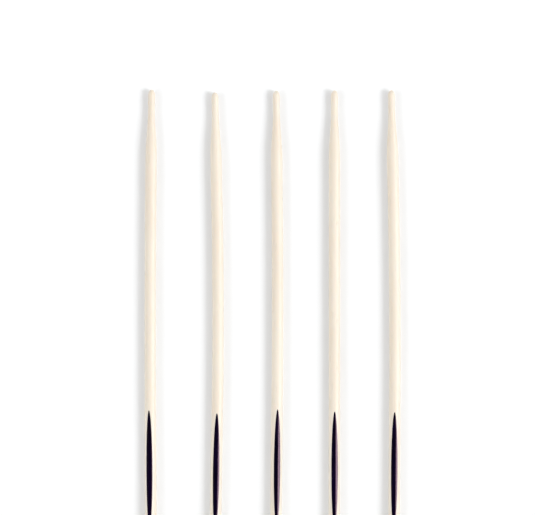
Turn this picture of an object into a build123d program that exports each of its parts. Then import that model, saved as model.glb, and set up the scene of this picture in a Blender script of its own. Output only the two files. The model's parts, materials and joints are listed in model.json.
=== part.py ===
from build123d import *
import math
import os

# A set of five double-pointed knitting needles, moulded in a cream polymer and laid side by side on a flat
# surface. Both ends of each needle narrow to a drop-shaped tip, and a dark oval size mark lies flush in the
# middle of its shaft. All sizes are in millimetres.
#
# Frame: the surface is z = 0, the needles run along Y, and they lie side by side along X. The origin is under
# the middle of the set.

# ---- The needle ----
NEEDLE_LENGTH = 200.0
SHAFT_DIAMETER = 3.0

# Each end, measured back from the very tip.
TIP_DIAMETER = 1.84  # widest part of the drop
NECK_DIAMETER = 1.76  # the slight waist behind the drop
NOSE_LENGTH = 1.5  # rounded nose, as far as the drop's widest part
NECK_FROM_TIP = 5.0
TAPER_FROM_TIP = 18.0  # where the shaft has its full diameter
STRAIGHT_LENGTH = 14.0  # true cylinder behind each taper, which a gauge or a point protector slides over

# ---- The size mark ----
MARK_LENGTH = 31.0
MARK_WIDTH = 1.7
MARK_EDGE_DEPTH = 0.16  # how deep its pocket's flat floor lies below the shaft's surface at the mark's sides
MARK_MARGIN = 2.5  # straight shaft beyond each end of the mark, which leaves it room to shift

# ---- How the needles lie ----
# lead: how far the needle's middle lies along +Y from the set's middle line
# lean: turn of the needle about its middle, in degrees, positive when its +Y end leans to +X
# bow: how far the middle of the needle bulges to +X from the line through its tips
# roll: turn about its own length, in degrees, positive when the mark turns to +X
# mark_shift: how far the mark lies along +Y from the middle of its needle
SPACINGS = [17.4, 15.9, 15.3, 15.9]  # from the middle of one needle to the middle of the next
NEEDLES = [
    {"lead": 0.2, "lean": -0.25, "bow": -0.7, "roll": -14.5, "mark_shift": -0.4},
    {"lead": -0.55, "lean": 0.88, "bow": 1.95, "roll": -3.0, "mark_shift": -0.4},
    {"lead": -0.1, "lean": 0.56, "bow": 1.05, "roll": 6.0, "mark_shift": 0.2},
    {"lead": 0.0, "lean": 0.11, "bow": 0.15, "roll": 2.5, "mark_shift": -0.5},
    {"lead": 0.05, "lean": 0.42, "bow": 1.55, "roll": -2.5, "mark_shift": -0.7},
]

SHAFT_RADIUS = SHAFT_DIAMETER / 2
END_LENGTH = STRAIGHT_LENGTH + TAPER_FROM_TIP
MIDDLE_LENGTH = MARK_LENGTH + 2 * MARK_MARGIN  # true cylinder that carries the size mark
BEND_LENGTH = (NEEDLE_LENGTH - MIDDLE_LENGTH) / 2 - END_LENGTH  # bowed shaft on each side of the middle


def smooth_step(start, end):
    """An S-curve between two (radius, height) points that leaves both of them parallel to the axis."""
    handle = (end[1] - start[1]) / 3
    return Bezier(start, (start[0], start[1] + handle), (end[0], end[1] - handle), end)


def rounded_nose(drop):
    """A quarter ellipse from the widest point of the drop, a (radius, height) pair, to the tip's very end."""
    handle = 0.5523  # the share of each half-axis that makes a Bezier curve follow a quarter ellipse
    radius, height = drop
    top = height + NOSE_LENGTH
    return Bezier(drop, (radius, height + handle * NOSE_LENGTH), (handle * radius, top), (0, top))


def needle_end():
    """The straight stretch, taper and drop-shaped tip: a turned solid that points along +Y from the origin."""
    shoulder = (SHAFT_RADIUS, STRAIGHT_LENGTH)
    neck = (NECK_DIAMETER / 2, END_LENGTH - NECK_FROM_TIP)
    drop = (TIP_DIAMETER / 2, END_LENGTH - NOSE_LENGTH)
    outline = [
        Line((0, 0), (SHAFT_RADIUS, 0)),
        Line((SHAFT_RADIUS, 0), shoulder),
        smooth_step(shoulder, neck),
        smooth_step(neck, drop),
        rounded_nose(drop),
        Line((0, END_LENGTH), (0, 0)),
    ]
    return revolve(make_face(outline), Axis.Y)


def needle_half(bow):
    """One half of a needle, from its middle to one tip along +Y. The bend brings the tip over to -X."""
    section = Plane.XZ * Circle(SHAFT_RADIUS)
    middle = extrude(section, -MIDDLE_LENGTH / 2)
    bend_start = Pos(0, MIDDLE_LENGTH / 2, 0)
    radius = BEND_LENGTH * (BEND_LENGTH / 2 + END_LENGTH) / bow
    turn = math.degrees(BEND_LENGTH / radius)
    bend_axis = Axis((-radius, 0, 0), (0, 0, math.copysign(1, radius)))
    bend = bend_start * revolve(section, bend_axis, abs(turn))
    end_start = bend_start * Pos(-radius, 0, 0) * Rot(0, 0, turn) * Pos(radius, 0, 0)
    return middle + bend + end_start * needle_end()


def whole_needle(bow):
    """One moulding, before the pocket for its size mark is cut, with its middle at the origin."""
    return needle_half(bow) + mirror(needle_half(bow), Plane.XZ)


def mark_space(roll, shift):
    """The oval column that the size mark and its pocket share, from the pocket's floor to above the shaft."""
    oval = Ellipse(MARK_WIDTH / 2, MARK_LENGTH / 2)
    shaft_height = math.sqrt(SHAFT_RADIUS**2 - (MARK_WIDTH / 2) ** 2)
    floor = shaft_height - MARK_EDGE_DEPTH
    return Rot(0, roll, 0) * Pos(0, shift, floor) * extrude(oval, SHAFT_DIAMETER)


os.makedirs("parts", exist_ok=True)
middle_x = -sum(SPACINGS) / 2
for number, (place, spacing) in enumerate(zip(NEEDLES, SPACINGS + [0]), start=1):
    blank = whole_needle(place["bow"])
    space = mark_space(place["roll"], place["mark_shift"])
    laid = Pos(middle_x, place["lead"], SHAFT_RADIUS) * Rot(0, 0, -place["lean"])
    export_step(laid * (blank - space), f"parts/needle_{number}.step")
    export_step(laid * (blank & space), f"parts/size_mark_{number}.step")
    middle_x += spacing
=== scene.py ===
import json
import math

import bpy
import numpy as np
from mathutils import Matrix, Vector


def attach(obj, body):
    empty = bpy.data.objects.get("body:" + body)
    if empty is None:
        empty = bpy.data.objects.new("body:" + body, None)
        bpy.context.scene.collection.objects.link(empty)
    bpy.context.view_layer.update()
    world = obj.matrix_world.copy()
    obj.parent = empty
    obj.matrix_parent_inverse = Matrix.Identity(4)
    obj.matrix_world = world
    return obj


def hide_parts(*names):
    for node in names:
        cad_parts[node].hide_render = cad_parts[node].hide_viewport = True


# Looks for a set of five double-pointed knitting needles in cream polymer, lying side by side on a white
# surface. Everything is in metres, in the CAD model's frame: +Y along the needles, +X across them, +Z up.

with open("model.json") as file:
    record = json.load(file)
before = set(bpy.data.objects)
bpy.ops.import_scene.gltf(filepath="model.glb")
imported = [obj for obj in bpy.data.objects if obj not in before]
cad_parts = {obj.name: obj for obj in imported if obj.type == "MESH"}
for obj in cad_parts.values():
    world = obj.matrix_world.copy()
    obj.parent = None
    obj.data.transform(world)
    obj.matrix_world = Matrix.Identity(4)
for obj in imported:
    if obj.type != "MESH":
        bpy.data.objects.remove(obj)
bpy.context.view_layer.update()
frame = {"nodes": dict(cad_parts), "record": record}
mounts = {m["name"]: m for m in frame["record"]["mounts"]}
MM = 0.001
UP = np.array([0, 0, 1])
NUMBERS = range(1, 6)  # of the needles, from -X to +X
SEED = 7

# ---- The needle's outline, measured back from each tip ----
TIP_RADIUS = 0.92 * MM
NECK_RADIUS = 0.88 * MM
NOSE_LENGTH = 1.5 * MM
NECK_FROM_TIP = 5.0 * MM
TAPER_FROM_TIP = 18.0 * MM
# ---- and its line: a straight middle, a bend on each side of it, then a straight stretch and the taper ----
MIDDLE_LENGTH = 36.0 * MM
BEND_LENGTH = 50.0 * MM
FIRST_SHAFT = mounts["needle_1_front_shaft"]["dims"]
SHAFT_RADIUS = FIRST_SHAFT["r_mm"] * MM
STRAIGHT_LENGTH = FIRST_SHAFT["length_mm"] * MM
HALF_LENGTH = MIDDLE_LENGTH / 2 + BEND_LENGTH + STRAIGHT_LENGTH + TAPER_FROM_TIP

# ---- The size mark ----
MARK_LENGTH = 31.0 * MM
MARK_WIDTH = 1.7 * MM
MARK_GAP = 0.012 * MM  # hairline between the inlay and the rim of its pocket
MARK_SUNK = 0.006 * MM  # the inlay's face lies this far below the shaft's surface
MARK_EDGE_DROP = 0.012 * MM  # rounding of the inlay's rim

# ---- Moulding traces ----
PARTING_HEIGHT = 0.010 * MM  # witness line of the mould on each side of the needle
PARTING_WIDTH = 0.05 * MM
WAVE_HEIGHT = 0.004 * MM  # the shaft isn't perfectly even along its length
WAVE_LENGTHS = (31 * MM, 17 * MM, 9.5 * MM)

NICK_WIDTH = 0.2 * MM  # the same for all the nicks of the next list
# Small handling nicks: needle, place along it from its middle, degrees round it from the mark, length, depth
NICKS = [
    (4, 64.9 * MM, 17, 1.6 * MM, 0.20 * MM),
    (4, 39.2 * MM, 17, 1.5 * MM, 0.16 * MM),
    (4, 26.5 * MM, 17, 1.3 * MM, 0.15 * MM),
    (2, 43.4 * MM, 12, 1.4 * MM, 0.10 * MM),
    (2, 30.4 * MM, -62, 1.3 * MM, 0.20 * MM),
    (1, 50.0 * MM, 22, 1.4 * MM, 0.06 * MM),
]

# ---- How finely the meshes are cut ----
NOSE_STEP = 7.5  # degrees round the nose
TAPER_STEP = 0.3 * MM
SHAFT_RINGS = 400
NICK_RINGS = 17
MARK_COLUMN_STEP = 2.5  # degrees round the shaft, on the side with the mark
PARTING_COLUMNS = (-5, -3.4, -2.4, -1.6, -0.8, 0, 0.8, 1.6, 2.4, 3.4, 5)  # degrees from a parting line
OVAL_POINTS = 128
INLAY_RINGS = 7
SHARP_EDGE = math.radians(35)

# ---- Materials ----
POLYMER_TONES = [(0.3, (0.768, 0.680, 0.574)), (0.5, (0.782, 0.705, 0.600)), (0.7, (0.792, 0.724, 0.625))]
INK_TONES = [(0.35, (0.0008, 0.0002, 0.0042)), (0.65, (0.0030, 0.0005, 0.0130))]
CARD_TONES = [(0.3, (0.838, 0.846, 0.854)), (0.7, (0.846, 0.854, 0.862))]
POLYMER_ROUGHNESS, POLYMER_IOR = (0.27, 0.40), 1.52
INK_ROUGHNESS, INK_IOR = (0.13, 0.22), 1.75
SCATTER_REACH = 0.5 * MM  # how far light travels inside the polymer
DRAW_LINE_HEIGHT = 0.012 * MM
GRAIN_HEIGHT = 0.004 * MM
ORANGE_PEEL_HEIGHT = 0.006 * MM
NOISE_RANGE = (0.3, 0.7)  # where nearly all values of a noise texture lie

# ---- Light: how bright each lamp alone makes a perfectly white floor, and how wide it looks, in degrees ----
KEY_LIGHT, KEY_ELEVATION, KEY_SPREAD = 0.345, 43.5, 28
SOFTBOX_LIGHT, SOFTBOX_ELEVATION, SOFTBOX_SPREAD = 0.44, 35, 46  # the key's softbox, as reflections show it
FILL_LIGHT, FILL_ELEVATION, FILL_SPREAD = 0.115, 43, 24
OVERHEAD_LIGHT, OVERHEAD_ELEVATION, OVERHEAD_SPREAD = 0.18, 90, 20
LEFT, RIGHT = -1, 1
WHITE = (1, 1, 1, 1)
LAMPS_TURNED = 14  # how far round towards -Y the lamps on both sides stand, in degrees
ROOM_LIGHT = 1.06
# Where the room starts and stops dimming, as the upward part of a direction, and what is left there
CEILING = (0.75, 0.90, 0.08)
END_WALLS = (0.35, 0.90, 0.45)  # the same for the part of a direction along the needles
ROOM_REFLECTION = 0.03  # how much of the room's brightness shows in reflections
BACKDROP_LIGHT = 1.05
FLOOR_REACH = 30.0  # from its middle to each side

# ---- Camera: far off with a long lens, so that the view is almost parallel ----
FRAME_WIDTH, FRAME_HEIGHT = 535, 515
SHOWN_WIDTH = 141.6 * MM
FIRST_FROM_EDGE = 39.88 * MM  # from the view's left edge to the first needle
TIPS_FROM_EDGE = 23.9 * MM  # from the view's upper edge to the needles' tips
SENSOR_WIDTH = 36
LENS = 400


# ---------------------------------------------------------------- the needles' lines, read from the frame
class Spine:
    """The centreline of one needle, worked out from the mounts on its two straight shaft ends."""

    def __init__(self, number):
        front = mounts[f"needle_{number}_front_shaft"]
        back = mounts[f"needle_{number}_back_shaft"]
        front_axis, back_axis = np.array(front["axis"]), np.array(back["axis"])
        heading = front_axis - back_axis
        self.heading = heading / np.linalg.norm(heading)
        self.side = np.array([self.heading[1], -self.heading[0], 0])
        turn = math.atan2(-front_axis @ self.side, front_axis @ self.heading)
        self.radius = BEND_LENGTH / turn
        offset = self.radius * (1 - math.cos(turn)) + math.sin(turn) * STRAIGHT_LENGTH / 2
        middle = (np.array(front["pos_m"]) + np.array(back["pos_m"])) / 2
        self.centre = middle + offset * self.side

    def walk(self, distance):
        """Points, and the sideways direction at each, for distances along the line from its middle."""
        distance = np.asarray(distance, float)
        beyond = np.maximum(np.abs(distance) - MIDDLE_LENGTH / 2, 0)
        bent = np.minimum(beyond, BEND_LENGTH)
        straight = beyond - bent
        turn = bent / self.radius
        along = np.minimum(np.abs(distance), MIDDLE_LENGTH / 2)
        along = along + self.radius * np.sin(turn) + straight * np.cos(turn)
        across = -(self.radius * (1 - np.cos(turn)) + straight * np.sin(turn))
        end = np.sign(distance)
        points = self.centre + np.outer(end * along, self.heading) + np.outer(across, self.side)
        sideways = np.outer(np.cos(turn), self.side) + np.outer(end * np.sin(turn), self.heading)
        return points, sideways


class MarkPlace:
    """How one size mark sits on its needle, read from the CAD node.

    roll is its turn about the needle. along, across and out are its own directions. centre is the point on
    the needle's axis under its middle. floor is the height of its flat underside above that axis.
    """

    def __init__(self, number, spine):
        mesh = frame["nodes"][f"size_mark_{number}"].data
        underside = [face.normal * face.area for face in mesh.polygons if face.normal.z < -0.9]
        under = sum(underside, Vector())
        self.roll = math.atan2(-np.array(under) @ spine.side, -under.z)
        self.along = spine.heading
        self.across = math.cos(self.roll) * spine.side - math.sin(self.roll) * UP
        self.out = math.sin(self.roll) * spine.side + math.cos(self.roll) * UP
        corners = np.array([vertex.co for vertex in mesh.vertices]) - spine.centre
        reach = corners @ self.along
        self.centre = spine.centre + (reach.min() + reach.max()) / 2 * self.along
        self.floor = (corners @ self.out).min()

    def points(self, along, across, out):
        """Points at these distances along, across and out from the mark's centre."""
        sideways = np.outer(along, self.along) + np.outer(across, self.across)
        return self.centre + sideways + np.outer(out, self.out)


# ---------------------------------------------------------------- meshes
def smooth(t):
    """An even rise from 0 to 1 that starts and ends level."""
    t = np.clip(t, 0, 1)
    return t * t * (3 - 2 * t)


def outline_radius(from_tip):
    """The needle's radius at a distance from its tip: rounded nose, drop, neck, taper and shaft."""
    nose = np.clip(1 - from_tip / NOSE_LENGTH, 0, 1)
    radius = TIP_RADIUS * np.sqrt(1 - nose**2)
    to_neck = smooth((from_tip - NOSE_LENGTH) / (NECK_FROM_TIP - NOSE_LENGTH))
    to_shaft = smooth((from_tip - NECK_FROM_TIP) / (TAPER_FROM_TIP - NECK_FROM_TIP))
    radius = radius + (NECK_RADIUS - TIP_RADIUS) * to_neck
    return radius + (SHAFT_RADIUS - NECK_RADIUS) * to_shaft


def stations(number):
    """Places of the needle's rings along it: close together on the noses, the tapers and the nicks."""
    nose = NOSE_LENGTH * (1 - np.cos(np.radians(np.arange(NOSE_STEP, 90, NOSE_STEP))))
    taper = np.arange(NOSE_LENGTH, TAPER_FROM_TIP, TAPER_STEP)
    end = HALF_LENGTH - np.concatenate([nose, taper])
    shaft_half = HALF_LENGTH - TAPER_FROM_TIP
    shaft = np.linspace(-shaft_half, shaft_half, SHAFT_RINGS)
    nicked = [s + np.linspace(-1, 1, NICK_RINGS) * size for n, s, _, size, _ in NICKS if n == number]
    return np.unique(np.round(np.concatenate([-end, shaft, end, *nicked]), 7))


def columns():
    """Angles of the needle's lines round it, from the mark: close together on the mark and parting lines."""
    front = np.arange(-40, 40.1, MARK_COLUMN_STEP)
    sides = np.concatenate([sign * 90 + np.array(PARTING_COLUMNS) for sign in (-1, 1)])
    rest = np.concatenate([np.arange(46, 84, 6), np.arange(100, 180.1, 5)])
    return np.radians(np.unique(np.round(np.concatenate([front, sides, rest, -rest[:-1]]), 3)))


def surface_traces(number, along, around):
    """How far the real surface stands off the perfect one: parting lines, slow waves and small nicks."""
    random = np.random.default_rng(SEED + number)
    ends = smooth((HALF_LENGTH - np.abs(along)) / TAPER_FROM_TIP)
    arc = SHAFT_RADIUS * (np.abs(around) - math.pi / 2)
    off = PARTING_HEIGHT * np.exp(-((arc / PARTING_WIDTH) ** 2)) * ends
    for length in WAVE_LENGTHS:
        phase, turn = random.uniform(0, 2 * math.pi, 2)
        wave = np.sin(2 * math.pi * along / length + phase) * np.cos(around + turn)
        off = off + WAVE_HEIGHT * wave * ends
    for n, place, degrees, size, depth in NICKS:
        if n == number:
            across = SHAFT_RADIUS * (around - math.radians(degrees))
            near = ((along - place) / (size / 3)) ** 2 + (across / NICK_WIDTH) ** 2
            off = off - depth * np.exp(-near)
    return off


def new_piece(name, vertices, faces, material):
    """A mesh object in the scene, made of these vertices and faces."""
    mesh = bpy.data.meshes.new(name)
    mesh.from_pydata(vertices, [], faces)
    mesh.materials.append(material)
    mesh.validate()
    piece = bpy.data.objects.new(name, mesh)
    bpy.context.scene.collection.objects.link(piece)
    return piece


def smooth_shading(piece):
    """Shades the piece smooth, apart from its sharp edges."""
    piece.data.polygons.foreach_set("use_smooth", [True] * len(piece.data.polygons))
    piece.data.set_sharp_from_angle(angle=SHARP_EDGE)


def ring_faces(rings, per_ring):
    """Quads between rings of vertices that are listed one ring after another."""
    return [
        (a * per_ring + b, a * per_ring + (b + 1) % per_ring,
         (a + 1) * per_ring + (b + 1) % per_ring, (a + 1) * per_ring + b)
        for a in range(rings - 1)
        for b in range(per_ring)
    ]


def needle_blank(number, spine, roll, material):
    """The whole moulding before its pocket is cut, closed at each tip by one vertex."""
    along, around = np.meshgrid(stations(number), columns(), indexing="ij")
    points, sideways = spine.walk(along[:, 0])
    radius = outline_radius(HALF_LENGTH - np.abs(along)) + surface_traces(number, along, around)
    turned = (around + roll)[..., None]
    outward = np.sin(turned) * sideways[:, None] + np.cos(turned) * UP
    ring = points[:, None] + radius[..., None] * outward
    rings, per_ring = along.shape
    tips, _ = spine.walk([-HALF_LENGTH, HALF_LENGTH])
    vertices = np.concatenate([ring.reshape(-1, 3), tips])
    back, front = rings * per_ring, rings * per_ring + 1
    last = (rings - 1) * per_ring
    faces = ring_faces(rings, per_ring)
    faces += [(back, (b + 1) % per_ring, b) for b in range(per_ring)]
    faces += [(front, last + b, last + (b + 1) % per_ring) for b in range(per_ring)]
    return new_piece(f"moulded_needle_{number}", vertices.tolist(), faces, material)


def oval(shrink):
    """Points (along, across) of the mark's outline, brought in by shrink, anticlockwise from outside."""
    t = np.linspace(0, 2 * math.pi, OVAL_POINTS, endpoint=False)
    return np.cos(t) * (MARK_LENGTH / 2 - shrink), -np.sin(t) * (MARK_WIDTH / 2 - shrink)


def cut_pocket(needle, place):
    """Cuts the mark's oval pocket into the needle."""
    along, across = oval(0)
    count = OVAL_POINTS
    bottom = place.points(along, across, np.full(count, place.floor))
    top = place.points(along, across, np.full(count, 2 * SHAFT_RADIUS))
    vertices = np.concatenate([bottom, top])
    faces = ring_faces(2, count) + [tuple(range(count))[::-1], tuple(range(count, 2 * count))]
    cutter = new_piece("pocket_cutter", vertices.tolist(), faces, needle.data.materials[0])
    change = needle.modifiers.new("pocket", "BOOLEAN")
    change.operation = "DIFFERENCE"
    change.solver = "EXACT"
    change.object = cutter
    bpy.context.view_layer.update()
    graph = bpy.context.evaluated_depsgraph_get()
    cut = bpy.data.meshes.new_from_object(needle.evaluated_get(graph))
    needle.modifiers.clear()
    needle.data = cut
    bpy.data.objects.remove(cutter)


def inlay(number, place, material):
    """The dark mark: an oval plate in the pocket, with a rounded rim and a face that follows the shaft."""
    along, across = oval(MARK_GAP)
    count = OVAL_POINTS
    face_radius = SHAFT_RADIUS - MARK_SUNK
    floor = place.points(along, across, np.full(count, place.floor + MARK_GAP))
    rim = place.points(along, across, np.sqrt(face_radius**2 - across**2) - MARK_EDGE_DROP)
    levels = [floor, rim]
    inner = 1 - MARK_EDGE_DROP / (MARK_WIDTH / 2)
    for share in [inner, *np.linspace(1, 1 / INLAY_RINGS, INLAY_RINGS)[1:]]:
        height = np.sqrt(face_radius**2 - (across * share) ** 2)
        levels.append(place.points(along * share, across * share, height))
    vertices = np.concatenate([*levels, place.points([0], [0], [face_radius])])
    faces = ring_faces(len(levels), count)
    last, centre = (len(levels) - 1) * count, len(levels) * count
    faces += [(last + b, last + (b + 1) % count, centre) for b in range(count)]
    faces.append(tuple(range(count))[::-1])
    return new_piece(f"inlaid_mark_{number}", vertices.tolist(), faces, material)


# ---------------------------------------------------------------- materials
def map_range(tree, value, before, after):
    """A node's value, mapped from one range (low, high) to another and held at its ends."""
    node = tree.nodes.new("ShaderNodeMapRange")
    for word, (low, high) in (("From", before), ("To", after)):
        node.inputs[f"{word} Min"].default_value = low
        node.inputs[f"{word} Max"].default_value = high
    tree.links.new(value, node.inputs["Value"])
    return node.outputs["Result"]


class Nodes:
    """Short ways to add and join the nodes of one material."""

    def __init__(self, name):
        self.material = bpy.data.materials.new(name)
        self.material.use_nodes = True
        self.tree = self.material.node_tree
        self.shader = self.tree.nodes["Principled BSDF"]

    def add(self, kind, **settings):
        """A new node, with these input values and properties."""
        node = self.tree.nodes.new(kind)
        for key, value in settings.items():
            if key in node.inputs:
                node.inputs[key].default_value = value
            else:
                setattr(node, key, value)
        return node

    def join(self, output, node, socket):
        self.tree.links.new(output, node.inputs[socket])

    def stretched(self, scale):
        """The piece's own coordinates, scaled apart across, along and up."""
        place = self.add("ShaderNodeTexCoord")
        mapping = self.add("ShaderNodeMapping", Scale=scale)
        self.join(place.outputs["Object"], mapping, "Vector")
        return mapping.outputs["Vector"]

    def noise(self, scale, detail=2.0):
        """A noise texture of this many waves in a metre across, along and up."""
        texture = self.add("ShaderNodeTexNoise", Scale=1.0, Detail=detail)
        self.join(self.stretched(scale), texture, "Vector")
        return texture.outputs["Fac"]

    def ramp(self, value, stops):
        """Colours for a value: stops are (position, colour), from the lowest to the highest."""
        ramp = self.add("ShaderNodeValToRGB")
        elements = ramp.color_ramp.elements
        for element, (position, colour) in ((elements[0], stops[0]), (elements[1], stops[-1])):
            element.position = position
            element.color = (*colour, 1)
        for position, colour in stops[1:-1]:
            elements.new(position).color = (*colour, 1)
        self.join(value, ramp, "Fac")
        return ramp.outputs["Color"]

    def spread(self, value, limits):
        """A noise texture's value, spread over the range between two limits."""
        return map_range(self.tree, value, NOISE_RANGE, limits)

    def bump(self, height, distance, under=None):
        """A normal for a height map that is distance high, on top of the normal under it if there is one."""
        bump = self.add("ShaderNodeBump", Distance=distance)
        self.join(height, bump, "Height")
        if under is not None:
            self.join(under, bump, "Normal")
        return bump.outputs["Normal"]


def needle_polymer():
    """Cream moulded polymer: semi-gloss, faintly cloudy, with fine lengthwise draw lines and a fine grain."""
    nodes = Nodes("cream_polymer")
    shader = nodes.shader
    clouds = nodes.noise((220, 45, 220), 3.0)
    nodes.join(nodes.ramp(clouds, POLYMER_TONES), shader, "Base Color")
    nodes.join(nodes.spread(nodes.noise((900, 160, 900)), POLYMER_ROUGHNESS), shader, "Roughness")
    lines = nodes.bump(nodes.noise((2600, 90, 2600), 3.0), DRAW_LINE_HEIGHT)
    grain = nodes.bump(nodes.noise((5200, 5200, 5200)), GRAIN_HEIGHT, under=lines)
    nodes.join(grain, shader, "Normal")
    shader.inputs["IOR"].default_value = POLYMER_IOR
    shader.inputs["Specular IOR Level"].default_value = 0.4
    shader.inputs["Subsurface Weight"].default_value = 0.35
    shader.inputs["Subsurface Radius"].default_value = (1.0, 0.8, 0.6)
    shader.inputs["Subsurface Scale"].default_value = SCATTER_REACH
    return nodes.material


def mark_ink():
    """The mark's near-black violet: smoother and glossier than the shaft, with a slight orange peel."""
    nodes = Nodes("violet_black")
    shader = nodes.shader
    clouds = nodes.noise((500, 120, 500), 3.0)
    nodes.join(nodes.ramp(clouds, INK_TONES), shader, "Base Color")
    nodes.join(nodes.spread(nodes.noise((1400, 300, 1400)), INK_ROUGHNESS), shader, "Roughness")
    nodes.join(nodes.bump(nodes.noise((1800, 500, 1800)), ORANGE_PEEL_HEIGHT), shader, "Normal")
    shader.inputs["IOR"].default_value = INK_IOR
    shader.inputs["Specular Tint"].default_value = (1.0, 0.64, 0.84, 1)
    return nodes.material


def floor_white():
    """Matt white card."""
    nodes = Nodes("white_card")
    nodes.join(nodes.ramp(nodes.noise((60, 60, 60)), CARD_TONES), nodes.shader, "Base Color")
    nodes.shader.inputs["Roughness"].default_value = 0.95
    nodes.shader.inputs["Specular IOR Level"].default_value = 0.1
    return nodes.material


# ---------------------------------------------------------------- the set
def make_needles():
    """Builds each needle and its mark, hides their CAD nodes and hangs both on the needle's body."""
    polymer, ink = needle_polymer(), mark_ink()
    for number in NUMBERS:
        spine = Spine(number)
        place = MarkPlace(number, spine)
        needle = needle_blank(number, spine, place.roll, polymer)
        cut_pocket(needle, place)
        mark = inlay(number, place, ink)
        pieces = (
            (needle, f"needle_{number}", "needle_polymer"),
            (mark, f"size_mark_{number}", "size_mark"),
        )
        for piece, node, finish in pieces:
            smooth_shading(piece)
            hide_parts(node)
            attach(piece, f"needle_{number}_body")


# ---------------------------------------------------------------- floor, light and camera
def make_floor():
    corners = [(x * FLOOR_REACH, y * FLOOR_REACH, 0) for x, y in ((-1, -1), (1, -1), (1, 1), (-1, 1))]
    floor = new_piece("floor", corners, [(0, 1, 2, 3)], floor_white())


def sun(name, side, elevation, spread, floor_light):
    """A soft parallel light from above one side of the set.

    side is RIGHT for a light at +X and LEFT for one at -X. spread is how wide it looks, in degrees.
    floor_light is how bright it alone makes a perfectly white floor.
    """
    data = bpy.data.lights.new(name, "SUN")
    data.angle = math.radians(spread)
    data.energy = floor_light * math.pi / math.sin(math.radians(elevation))
    light = bpy.data.objects.new(name, data)
    tilt, turn = math.radians(90 - elevation), math.radians(LAMPS_TURNED)
    light.rotation_euler = (0, side * tilt, -side * turn)
    bpy.context.scene.collection.objects.link(light)
    return light


def calculate(tree, operation, *values):
    """The result of one Math node on numbers or other nodes' values."""
    node = tree.nodes.new("ShaderNodeMath")
    node.operation = operation
    for value, socket in zip(values, node.inputs):
        if isinstance(value, bpy.types.NodeSocket):
            tree.links.new(value, socket)
        else:
            socket.default_value = value
    return node.outputs["Value"]


def room_brightness(tree):
    """How bright the room is: ROOM_LIGHT at its sides, dimmer at its ends, overhead and in reflections."""
    place = tree.nodes.new("ShaderNodeTexCoord")
    axes = tree.nodes.new("ShaderNodeSeparateXYZ")
    tree.links.new(place.outputs["Generated"], axes.inputs["Vector"])
    brightness = ROOM_LIGHT
    for axis, (start, end, least) in (("Z", CEILING), ("Y", END_WALLS)):
        size = calculate(tree, "ABSOLUTE", axes.outputs[axis])
        dimming = map_range(tree, size, (start, end), (1, least))
        brightness = calculate(tree, "MULTIPLY", dimming, brightness)
    seen = tree.nodes.new("ShaderNodeLightPath")
    mirrored = map_range(tree, seen.outputs["Is Glossy Ray"], (0, 1), (1, ROOM_REFLECTION))
    return calculate(tree, "MULTIPLY", brightness, mirrored)


def make_light():
    """Strong soft light from the right, a little from the left, an overhead lamp and a pale room.

    The lamps don't show in reflections. A wider lamp that shows only there stands for the key's softbox.
    """
    sun("key", RIGHT, KEY_ELEVATION, KEY_SPREAD, KEY_LIGHT).visible_glossy = False
    softbox = sun("softbox_reflection", RIGHT, SOFTBOX_ELEVATION, SOFTBOX_SPREAD, SOFTBOX_LIGHT)
    softbox.visible_diffuse = False
    sun("fill", LEFT, FILL_ELEVATION, FILL_SPREAD, FILL_LIGHT).visible_glossy = False
    sun("overhead", RIGHT, OVERHEAD_ELEVATION, OVERHEAD_SPREAD, OVERHEAD_LIGHT).visible_glossy = False
    world = bpy.data.worlds.new("pale_studio")
    world.use_nodes = True
    tree = world.node_tree
    room, backdrop = tree.nodes["Background"], tree.nodes.new("ShaderNodeBackground")
    room.inputs["Color"].default_value = WHITE
    tree.links.new(room_brightness(tree), room.inputs["Strength"])
    backdrop.inputs["Color"].default_value = WHITE
    backdrop.inputs["Strength"].default_value = BACKDROP_LIGHT
    seen, mix = tree.nodes.new("ShaderNodeLightPath"), tree.nodes.new("ShaderNodeMixShader")
    tree.links.new(seen.outputs["Is Camera Ray"], mix.inputs["Fac"])
    tree.links.new(room.outputs["Background"], mix.inputs[1])
    tree.links.new(backdrop.outputs["Background"], mix.inputs[2])
    tree.links.new(mix.outputs["Shader"], tree.nodes["World Output"].inputs["Surface"])
    bpy.context.scene.world = world


def make_camera():
    """Straight down on the upper part of the set, from above the tips to part of the marks."""
    shown_height = SHOWN_WIDTH * FRAME_HEIGHT / FRAME_WIDTH
    data = bpy.data.cameras.new("camera")
    data.sensor_width = SENSOR_WIDTH
    data.lens = LENS
    camera = bpy.data.objects.new("camera", data)
    bpy.context.scene.collection.objects.link(camera)
    first_x = Spine(1).centre[0]
    camera.location = (
        first_x - FIRST_FROM_EDGE + SHOWN_WIDTH / 2,
        HALF_LENGTH + TIPS_FROM_EDGE - shown_height / 2,
        SHAFT_RADIUS + SHOWN_WIDTH * LENS / SENSOR_WIDTH,
    )
    data.clip_start, data.clip_end = 0.1, 100
    bpy.context.scene.camera = camera


make_camera()
make_light()
make_floor()
make_needles()
bpy.context.scene.view_settings.view_transform = "Standard"
